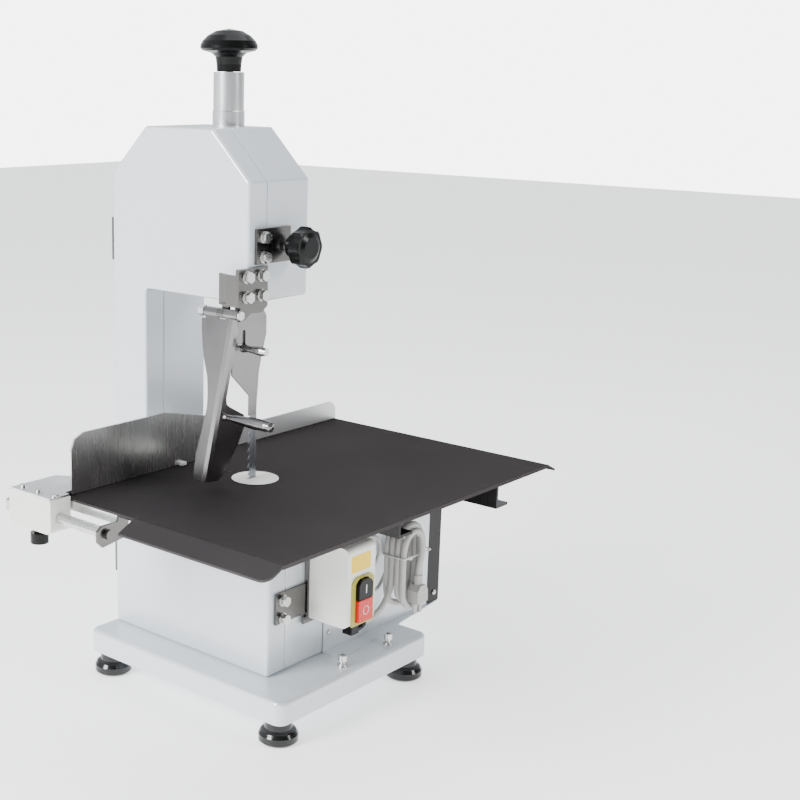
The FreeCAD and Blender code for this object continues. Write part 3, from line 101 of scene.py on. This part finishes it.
def make_studio():
    """Pale floor, white surroundings and three soft lights."""
    mesh = bpy.data.meshes.new("floor")
    corners = [(-1, -1), (1, -1), (1, 1), (-1, 1)]
    mesh.from_pydata([(FLOOR_HALF * x, FLOOR_HALF * y, 0) for x, y in corners], [], [(0, 1, 2, 3)])
    floor = bpy.data.objects.new("floor", mesh)
    bpy.context.scene.collection.objects.link(floor)
    floor.location.z = -FLOOR_DROP
    material, shader = new_material("floor", (0.96, 0.96, 0.96), 0.6)
    shader.inputs["Emission Color"].default_value = (1, 1, 1, 1)
    shader.inputs["Emission Strength"].default_value = FLOOR_GLOW
    mesh.materials.append(material)
    world = bpy.data.worlds.new("studio")
    world.use_nodes = True
    tree = world.node_tree
    # the surroundings are bright on the left and darker on the right
    where = tree.nodes.new("ShaderNodeTexCoord")
    parts = tree.nodes.new("ShaderNodeSeparateXYZ")
    tree.links.new(where.outputs["Generated"], parts.inputs[0])
    across = tree.nodes.new("ShaderNodeMapRange")
    across.interpolation_type = "SMOOTHSTEP"
    across.inputs["From Min"].default_value = -0.35
    across.inputs["From Max"].default_value = 0.85
    across.inputs["To Min"].default_value = BRIGHT_SIDE
    across.inputs["To Max"].default_value = DARK_SIDE
    tree.links.new(parts.outputs["X"], across.inputs["Value"])
    surround = tree.nodes["Background"]
    surround.inputs["Color"].default_value = (0.90, 0.95, 1.0, 1)
    tree.links.new(across.outputs["Result"], surround.inputs["Strength"])
    # the camera sees a plain white backdrop
    backdrop = tree.nodes.new("ShaderNodeBackground")
    backdrop.inputs["Color"].default_value = (1, 1, 1, 1)
    backdrop.inputs["Strength"].default_value = BACKDROP_GLOW
    path = tree.nodes.new("ShaderNodeLightPath")
    chooser = tree.nodes.new("ShaderNodeMixShader")
    tree.links.new(path.outputs["Is Camera Ray"], chooser.inputs[0])
    tree.links.new(surround.outputs[0], chooser.inputs[1])
    tree.links.new(backdrop.outputs[0], chooser.inputs[2])
    tree.links.new(chooser.outputs[0], tree.nodes["World Output"].inputs["Surface"])
    bpy.context.scene.world = world
    middle = at(0, -60, 400)
    make_light("key", (-0.7, -2.9, 1.9), middle, 1.2, 190)
    make_light("side", (2.4, 0.9, 1.6), middle, 0.7, 34)
    make_light("top", (0.2, 0.6, 3.0), middle, 2.0, 30)


# ---------------------------------------------------------------- materials

def new_material(name, colour, roughness, metallic=0.0, **sockets):
    """Material with its uniform values on the shader's own sockets."""
    material = bpy.data.materials.new(name)
    material.use_nodes = True
    shader = material.node_tree.nodes["Principled BSDF"]
    shader.inputs["Base Color"].default_value = (*colour, 1)
    shader.inputs["Roughness"].default_value = roughness
    shader.inputs["Metallic"].default_value = metallic
    for label, value in sockets.items():
        shader.inputs[label.replace("_", " ")].default_value = value
    return material, shader


BROAD_SCALE, BRUSHED_SCALE, BRUSHED_STRETCH = 9.0, 500.0, 0.02
NOISE_LOW, NOISE_HIGH = 0.3, 0.7


def noise(tree, scale, stretch=(1, 1, 1), detail=4.0):
    """Noise in object space, stretched along the axes, as a node output."""
    where = tree.nodes.new("ShaderNodeTexCoord")
    mapping = tree.nodes.new("ShaderNodeMapping")
    mapping.inputs["Scale"].default_value = stretch
    texture = tree.nodes.new("ShaderNodeTexNoise")
    texture.inputs["Scale"].default_value = scale
    texture.inputs["Detail"].default_value = detail
    tree.links.new(where.outputs["Object"], mapping.inputs["Vector"])
    tree.links.new(mapping.outputs["Vector"], texture.inputs["Vector"])
    return texture.outputs["Fac"]


def spread(tree, value, low, high):
    """Map a noise value, which lies mostly between its low and its high, to a range."""
    node = tree.nodes.new("ShaderNodeMapRange")
    node.inputs["From Min"].default_value = NOISE_LOW
    node.inputs["From Max"].default_value = NOISE_HIGH
    node.inputs["To Min"].default_value = low
    node.inputs["To Max"].default_value = high
    tree.links.new(value, node.inputs["Value"])
    return node.outputs["Result"]


def tint(tree, shader, value, dark, light):
    """Let the base colour vary between two colours."""
    ramp = tree.nodes.new("ShaderNodeValToRGB")
    ramp.color_ramp.elements[0].position = NOISE_LOW
    ramp.color_ramp.elements[1].position = NOISE_HIGH
    ramp.color_ramp.elements[0].color = (*dark, 1)
    ramp.color_ramp.elements[1].color = (*light, 1)
    tree.links.new(value, ramp.inputs["Fac"])
    tree.links.new(ramp.outputs["Color"], shader.inputs["Base Color"])


def bump(tree, shader, value, strength, distance):
    """Surface relief from a value."""
    node = tree.nodes.new("ShaderNodeBump")
    node.inputs["Strength"].default_value = strength
    node.inputs["Distance"].default_value = distance
    tree.links.new(value, node.inputs["Height"])
    tree.links.new(node.outputs["Normal"], shader.inputs["Normal"])


def scaled(colour, factor):
    """A colour made darker or lighter."""
    return tuple(min(1.0, channel * factor) for channel in colour)


def textured(name, colour, roughness, metallic, scale, stretch=(1, 1, 1), vary=0.08, rough_vary=0.08,
             relief=0.1, depth=0.0002, **sockets):
    """Material whose colour, gloss and relief vary with one stretched noise and one broad noise."""
    material, shader = new_material(name, colour, roughness, metallic, **sockets)
    tree = material.node_tree
    fine = noise(tree, scale, stretch)
    broad = noise(tree, BROAD_SCALE, detail=3.0)
    tint(tree, shader, broad, scaled(colour, 1 - vary), scaled(colour, 1 + vary))
    tree.links.new(spread(tree, fine, roughness - rough_vary, roughness + rough_vary),
                   shader.inputs["Roughness"])
    bump(tree, shader, fine, relief, depth)
    return material


def brushed(name, colour, roughness, along, **extra):
    """Steel brushed along one axis."""
    stretch = tuple(BRUSHED_STRETCH if letter == along else 1.0 for letter in "xyz")
    return textured(name, colour, roughness, 1.0, BRUSHED_SCALE, stretch, relief=0.03, depth=0.00002,
                    **extra)


def table_steel_painted_reflection():
    """Brushed table sheet drawn near black as a painted dark reflection, with its upstand above the table's
    face drawn bright as a painted highlight.
    """
    # painted dark reflection: the near-black base colour of the stainless table sheet
    material = brushed("table_steel_painted_reflection", (0.072, 0.067, 0.067), 0.5, "x", vary=0.04, rough_vary=0.03,
                       Specular_Tint=(0.22, 0.21, 0.21, 1))
    tree = material.node_tree
    shader = tree.nodes["Principled BSDF"]
    dark = shader.inputs["Base Color"].links[0].from_socket
    where = tree.nodes.new("ShaderNodeTexCoord")
    parts = tree.nodes.new("ShaderNodeSeparateXYZ")
    tree.links.new(where.outputs["Object"], parts.inputs[0])
    above = tree.nodes.new("ShaderNodeMath")
    above.operation = "GREATER_THAN"
    above.inputs[1].default_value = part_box("table_insert")[1].z + 0.001
    tree.links.new(parts.outputs["Z"], above.inputs[0])
    painted_reflection_mix = tree.nodes.new("ShaderNodeMix")
    painted_reflection_mix.data_type = "RGBA"
    tree.links.new(above.outputs[0], painted_reflection_mix.inputs["Factor"])
    tree.links.new(dark, painted_reflection_mix.inputs[6])
    # painted highlight: the upstand above the table's face is drawn near white
    painted_reflection_mix.inputs[7].default_value = (0.80, 0.80, 0.80, 1)
    tree.links.new(painted_reflection_mix.outputs[2], shader.inputs["Base Color"])
    return material


def make_materials():
    """All materials, by a short name."""
    return {
        "paint": textured("paint", (0.66, 0.70, 0.74), 0.32, 0.25, 420.0, vary=0.012, rough_vary=0.03,
                          relief=0.03, depth=0.00004, Coat_Weight=0.3, Coat_Roughness=0.12),
        "table": table_steel_painted_reflection(),
        # painted shade: brackets, latch plates and hinge leaves take steel darker than the pusher's, standing
        # in for their dark reflections
        "sheet_y": brushed("sheet_steel_y_painted_shade", (0.15, 0.145, 0.14), 0.24, "y", vary=0.06, rough_vary=0.03),
        "sheet_z": brushed("sheet_steel_z", (0.23, 0.22, 0.22), 0.22, "z", vary=0.15, rough_vary=0.03),
        "tube": brushed("tube_steel", (0.85, 0.85, 0.85), 0.24, "z", vary=0.04, rough_vary=0.03),
        # painted dark reflection and shade: near-black steel on the motor rear cap and the table rails
        "dark_sheet": brushed("dark_sheet", (0.026, 0.025, 0.025), 0.32, "z", vary=0.08),
        "fence": brushed("fence_steel", (0.72, 0.72, 0.71), 0.26, "z", vary=0.25, rough_vary=0.02),
        "machined": textured("machined", (0.62, 0.62, 0.60), 0.26, 1.0, 700.0, relief=0.08,
                             depth=0.00005),
        "blade": brushed("blade_steel", (0.42, 0.44, 0.47), 0.28, "z", vary=0.08),
        "cast": textured("cast_aluminium", (0.62, 0.63, 0.64), 0.42, 1.0, 260.0, relief=0.2, depth=0.0002),
        "iron": textured("machined_iron", (0.16, 0.16, 0.17), 0.45, 0.9, 300.0, relief=0.2, depth=0.0002),
        "enamel": textured("motor_enamel", (0.10, 0.13, 0.16), 0.40, 0.0, 300.0, relief=0.25, depth=0.0002),
        "rubber": textured("rubber", (0.003, 0.003, 0.003), 0.16, 0.0, 350.0, vary=0.2, relief=0.12,
                           depth=0.0001),
        "black": textured("black_moulding", (0.002, 0.002, 0.002), 0.22, 0.0, 500.0, vary=0.2,
                          rough_vary=0.05, relief=0.04, depth=0.00004, Specular_IOR_Level=0.22),
        "nylon": textured("nylon", (0.74, 0.73, 0.68), 0.42, 0.0, 380.0, vary=0.03, relief=0.1,
                          depth=0.0001, Subsurface_Weight=0.05),
        "cream": textured("cream_moulding", (0.90, 0.89, 0.84), 0.45, 0.0, 650.0, vary=0.02, relief=0.15,
                          depth=0.00008),
        "yellow": textured("yellow_moulding", (0.42, 0.38, 0.06), 0.40, 0.0, 600.0, vary=0.04, relief=0.12,
                           depth=0.00006),
        "label": textured("label_film", (0.98, 0.66, 0.0), 0.35, 0.0, 300.0, vary=0.02, relief=0.03,
                          depth=0.00003),
        "red": textured("red_moulding", (0.70, 0.008, 0.004), 0.28, 0.0, 500.0, vary=0.05, relief=0.06,
                        depth=0.00005),
        "white_mark": textured("white_mark", (0.90, 0.90, 0.89), 0.45, 0.0, 500.0, vary=0.02, relief=0.02,
                               depth=0.00003),
        "sheath": textured("cord_sheath", (0.46, 0.45, 0.43), 0.42, 0.0, 420.0, vary=0.05, relief=0.1,
                           depth=0.0001),
    }


NODE_MATERIALS = {
    "paint": ["base_plate", "rear_housing", "front_door", "motor_cover"],
    "table": ["table"],
    "sheet_y": ["latch_plates", "pusher_bracket", "hinge_leaves", "door_hinge_leaves", "switch_bracket",
                "rod_bracket", "guard_holder"],
    "tube": ["tension_tube"],
    "sheet_z": ["pusher_plate", "blade_guard", "pusher_handle"],
    "fence": ["fence_plate"],
    "dark_sheet": ["motor_rear_cap", "table_rails"],
    "machined": ["base_screws", "knob_stud", "upper_axle", "tension_screw", "tension_spring", "drive_shaft",
                 "wheel_nut", "wheel_bearings", "motor_bearings", "lead_peg", "fence_screws", "fence_rod",
                 "pusher_pin", "door_bolts", "guard_screw"],
    "blade": ["saw_blade"],
    "cast": ["upper_wheel", "lower_wheel"],
    "iron": ["wheel_carriage", "carriage_guides"],
    "enamel": ["motor_body", "motor_shields", "fan_cowl"],
    "rubber": ["rubber_feet"],
    "black": ["star_knob", "tension_knob", "motor_fan", "fence_lock_screw", "on_button", "cable_glands"],
    "nylon": ["table_insert", "fence_block", "lower_guide", "blade_scrapers"],
    "cream": ["switch_box"],
    "yellow": ["switch_bezel"],
    "red": ["off_button"],
    "sheath": ["mains_plug"],
}


def dress_nodes():
    """Give the CAD nodes their procedural materials."""
    for name, members in NODE_MATERIALS.items():
        for node in members:
            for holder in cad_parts[node].material_slots:
                holder.material = materials[name]


# ---------------------------------------------------------------- mesh helpers

def mesh_piece(name, vertices, faces, material):
    """Smooth object from points in metres."""
    mesh = bpy.data.meshes.new(name)
    mesh.from_pydata([tuple(vertex) for vertex in vertices], [], faces)
    mesh.materials.append(materials[material])
    mesh.update()
    mesh.shade_smooth()
    piece = bpy.data.objects.new(name, mesh)
    bpy.context.scene.collection.objects.link(piece)
    return piece


def finished(piece, bevel=0.0):
    """Round a piece's edges and keep its flat faces flat."""
    if bevel:
        rounding = piece.modifiers.new("rounding", "BEVEL")
        rounding.width = bevel
        rounding.segments = 3
        rounding.limit_method = "ANGLE"
    weighted = piece.modifiers.new("weighted", "WEIGHTED_NORMAL")
    weighted.keep_sharp = True
    return piece


def slab(name, corners, material, bevel, offset):
    """Plate from an outline, given as points in metres, and the vector of its thickness."""
    count = len(corners)
    vertices = list(corners) + [corner + offset for corner in corners]
    faces = [tuple(range(count))[::-1], tuple(range(count, 2 * count))]
    faces += [(i, (i + 1) % count, (i + 1) % count + count, i + count) for i in range(count)]
    piece = mesh_piece(name, vertices, faces, material)
    tidy = bmesh.new()
    tidy.from_mesh(piece.data)
    bmesh.ops.recalc_face_normals(tidy, faces=tidy.faces)
    tidy.to_mesh(piece.data)
    tidy.free()
    return finished(piece, bevel)


def ring_faces(rings, sides, closed=False):
    """Faces between rings of points, with both ends capped unless the rings close on themselves."""
    faces = []
    for ring in range(rings if closed else rings - 1):
        here, onward = ring * sides, (ring + 1) % rings * sides
        for step in range(sides):
            beside = (step + 1) % sides
            faces.append((here + step, here + beside, onward + beside, onward + step))
    if not closed:
        faces += [tuple(range(sides))[::-1], tuple(range((rings - 1) * sides, rings * sides))]
    return faces


def swept(name, points, radius, material, sides=12, closed=False):
    """Round bar through points in metres, with frames that don't twist."""
    vertices = []
    count = len(points)
    normal = None
    for index, point in enumerate(points):
        before = points[index - 1] if index or closed else point
        after = points[(index + 1) % count] if index < count - 1 or closed else point
        along = (after - before).normalized()
        if normal is None:
            normal = along.orthogonal().normalized()
        normal = (normal - along * normal.dot(along)).normalized()
        side = along.cross(normal)
        for step in range(sides):
            angle = 2 * math.pi * step / sides
            vertices.append(point + (normal * math.cos(angle) + side * math.sin(angle)) * radius)
    return mesh_piece(name, vertices, ring_faces(count, sides, closed), material)


def revolved(name, profile, place, direction, material, sides=32):
    """Solid of revolution: profile of (radius, height) in mm, about a direction through a point."""
    turn = direction.normalized().to_track_quat("Z", "Y").to_matrix()
    vertices = []
    for radius, height in profile:
        for step in range(sides):
            angle = 2 * math.pi * step / sides
            local = Vector((radius * math.cos(angle), radius * math.sin(angle), height)) * MM
            vertices.append(place + turn @ local)
    return finished(mesh_piece(name, vertices, ring_faces(len(profile), sides), material))


# ---------------------------------------------------------------- leads

MAINS_ROUTE = [(168, 30.7, 119), (168, 51, 119), (169, 69.4, 126.6), (170, 83.5, 140.7), (171, 91.1, 159.1),
               (171, 91.1, 179.7)]
MOTOR_ROUTE = [(160, 40, 238), (160, 56, 238), (160.5, 71, 231), (161, 75, 215), (162, 67, 201),
               (163, 56, 190), (163, 51, 175), (162, 56, 161), (159, 69, 152), (154, 85, 154),
               (150, 100, 162), (145, 115, 172), (140, 130, 181), (138, 146, 186)]
MAINS_DIAMETER, MOTOR_DIAMETER = 9.0, 5.0
HANK_FRONT, HANK_REAR = 91.1, 146.0
HANK_TURN = (HANK_REAR - HANK_FRONT) / 2
HANK_MIDDLE = (HANK_FRONT + HANK_REAR) / 2
HANK_HIGH, HANK_LOW = 217.5, 150.5
TURN_STEPS = 8


def spline_piece(name, route, diameter, material):
    """Smooth lead: a NURBS curve with the route's points as its control points."""
    curve = bpy.data.curves.new(name, "CURVE")
    curve.dimensions = "3D"
    curve.bevel_depth = diameter * MM / 2
    curve.bevel_resolution = 5
    curve.resolution_u = 10
    curve.use_fill_caps = True
    spline = curve.splines.new("NURBS")
    spline.points.add(len(route) - 1)
    for control, point in zip(spline.points, route):
        control.co = (*at(*point), 1)
    spline.order_u = 3
    spline.use_endpoint_u = True
    curve.materials.append(materials[material])
    piece = bpy.data.objects.new(name, curve)
    bpy.context.scene.collection.objects.link(piece)
    return piece


def half_turn(top, radius, level, start, end):
    """Half turn of the hank: over the top to the rear, or under the bottom to the front."""
    points = []
    for step in range(1, TURN_STEPS):
        angle = math.pi * step / TURN_STEPS
        side = -math.cos(angle) if top else math.cos(angle)
        rise = math.sin(angle) if top else -math.sin(angle)
        # the lead changes layer over the middle of the turn
        share = min(1.0, max(0.0, (step - 2) / 4))
        points.append((start + (end - start) * share, HANK_MIDDLE + side * HANK_TURN,
                       level + rise * radius))
    return points


def hank_route():
    """Three turns of the folded lead, which hang over the peg, and the end that drops to the plug."""
    # layer of each front run, and how far below the lower level each bottom turn reaches
    layers = [171, 162, 181, 190]
    reaches = [HANK_TURN, HANK_TURN - 10.5, HANK_TURN]
    points = []
    for turn, reach in enumerate(reaches):
        here, onward = layers[turn], layers[turn + 1]
        points += [(here, HANK_FRONT, 200), (here, HANK_FRONT, HANK_HIGH)]
        points += half_turn(True, HANK_TURN, HANK_HIGH, here, here)
        points += [(here, HANK_REAR, HANK_HIGH), (here, HANK_REAR, 184), (here, HANK_REAR, HANK_LOW)]
        points += half_turn(False, reach, HANK_LOW, here, onward)
        points += [(onward, HANK_FRONT, HANK_LOW), (onward, HANK_FRONT, 176)]
    points += [(layers[-1], HANK_FRONT, 205), (191, 92, 222), (194, 97, 236), (198, 106, 243), (201, 115, 240),
               (201.8, 120, 228), (201.6, 121, 212), (200, 121, 198), (197, 121, 186), (196, 121, 178),
               (196, 121, 170)]
    return points


def make_leads():
    """The mains lead with its hank and plug, and the motor lead."""
    mains = spline_piece("mains_cord", MAINS_ROUTE + hank_route(), MAINS_DIAMETER, "sheath")
    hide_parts("mains_lead", "lead_hank")
    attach(mains, "frame")
    motor = spline_piece("motor_cord", MOTOR_ROUTE, MOTOR_DIAMETER, "sheath")
    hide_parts("motor_lead")
    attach(motor, "frame")
    return mains, motor


def rectangle_up(left, right, near, far, level):
    """Corners, in metres, of a level rectangle given in mm."""
    return [at(left, near, level), at(right, near, level), at(right, far, level), at(left, far, level)]


def make_tie():
    """Cable tie around the hank, with its square head."""
    left, right, front, rear, level = 156.4, 195.8, 85.4, 151.7, 203
    corner, thickness = 4, 2.2
    points = []
    for centre_x, centre_y, first in ((right - corner, rear - corner, 0),
                                      (left + corner, rear - corner, 90),
                                      (left + corner, front + corner, 180),
                                      (right - corner, front + corner, 270)):
        for step in range(4):
            angle = math.radians(first + 30 * step)
            points.append(at(centre_x + corner * math.cos(angle),
                             centre_y + corner * math.sin(angle), level))
    tie = swept("hank_tie", points, thickness / 2 * MM, "nylon", 8, closed=True)
    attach(finished(tie), "frame")
    near, under, width, height = 96, 200.4, 5, 5.2
    outside = 198.6
    head = rectangle_up(outside - width, outside, near, near + width, under)
    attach(slab("tie_head", head, "nylon", 0.0005, Vector((0, 0, height)) * MM), "frame")


# ---------------------------------------------------------------- small details

def make_strain_reliefs():
    """Ribs along the two sleeves that hold the leads at the switch."""
    count, pitch, depth = 4, 2.7, 1.4
    for name, exit_point, y, first, last in (("mains_relief", MAINS_ROUTE[0], 17.6, 8.6, 6.8),
                                             ("motor_relief", MOTOR_ROUTE[0], 29, 7.6, 4.8)):
        for index in range(count):
            radius = first + (last - first) * index / (count - 1)
            profile = [(radius - depth, 0), (radius, 0.4), (radius, 1.4), (radius - depth, 1.8)]
            place = at(exit_point[0], y + pitch * index, exit_point[2])
            rib = revolved(f"{name}_{index}", profile, place, Vector((0, 1, 0)), "black")
            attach(rib, "frame")


def arch(near, far, low, high, rise):
    """Outline in Y and Z of an upright rectangle with rounded upper corners, in mm."""
    corner = []
    for step in range(5):
        angle = math.radians(22.5 * step)
        corner.append((rise * (1 - math.cos(angle)), high - rise * (1 - math.sin(angle))))
    return ([(near, low)] + [(near + inward, level) for inward, level in corner]
            + [(far - inward, level) for inward, level in reversed(corner)] + [(far, low)])


def make_switch_details():
    """Blank label above the keys, and a ring and a bar that mark stop and start."""
    outward = Vector((0.4, 0, 0)) * MM
    label = [at(192, y, z) for y, z in arch(-31, 11, 212, 236, 2.5)]
    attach(slab("switch_label", label, "label", 0.0001, outward), "frame")
    keys_y, stop_z, ring_radius, key_face = -7, 156.5, 6, 200
    ring = []
    for step in range(32):
        angle = math.pi * step / 16
        ring.append(at(key_face + 0.1, keys_y + ring_radius * math.cos(angle),
                       stop_z + ring_radius * math.sin(angle)))
    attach(swept("stop_ring", ring, 0.5 * MM, "white_mark", 8, closed=True), "stop_key")
    low, high, half = 181, 193, 0.8
    bar = [at(key_face, keys_y - half, low), at(key_face, keys_y + half, low),
           at(key_face, keys_y + half, high), at(key_face, keys_y - half, high)]
    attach(slab("start_bar", bar, "white_mark", 0.0001, outward), "start_key")


def make_table_details():
    """Folded front edge of the table beside its lip, drawn in bright tube steel as a painted highlight, and
    the nylon glide under the fence.
    """
    left, right, front, low, high = -76, 37.4, -316, 314.5, 327
    fold = [at(left, front, low), at(right, front, low), at(right, front, high), at(left, front, high)]
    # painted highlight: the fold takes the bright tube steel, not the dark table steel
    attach(slab("front_fold", fold, "tube", 0.0004, Vector((0, 1.8, 0)) * MM), "frame")
    glide = rectangle_up(-59, -52, -109, -99, 330.4)
    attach(slab("fence_glide", glide, "nylon", 0.001, Vector((0, 0, 5)) * MM), "fence")


def make_cover_screws():
    """Pan-head screws along the right side of the motor cover and its rear cap."""
    profile = [(4.2, 0), (4.2, 1.2), (3.4, 2.2), (2.0, 2.7), (0.8, 2.8)]
    cover_right = 122
    places = ((12, 256), (12, 96), (246, 84), (246, 256), (272, 84), (272, 256))
    for index, (y, z) in enumerate(places):
        screw = revolved(f"cover_screw_{index}", profile, at(cover_right, y, z), Vector((1, 0, 0)),
                         "machined")
        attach(screw, "frame")


def curve_length(piece):
    """Length of a lead's centre line, in metres."""
    data = piece.data.copy()
    data.bevel_depth = 0
    probe = bpy.data.objects.new("probe", data)
    line = bpy.data.meshes.new_from_object(probe)
    total = sum((line.vertices[edge.vertices[0]].co - line.vertices[edge.vertices[1]].co).length
                for edge in line.edges)
    bpy.data.objects.remove(probe)
    bpy.data.meshes.remove(line)
    return total


# ---------------------------------------------------------------- build

make_camera()
make_studio()
materials = make_materials()
dress_nodes()
mains_cord, motor_cord = make_leads()
make_tie()
make_strain_reliefs()
make_switch_details()
make_cover_screws()
make_table_details()
print("cord lengths", round(curve_length(mains_cord), 4), round(curve_length(motor_cord), 4))
round(curve_length(mains_cord), 2)
round(curve_length(motor_cord), 3)
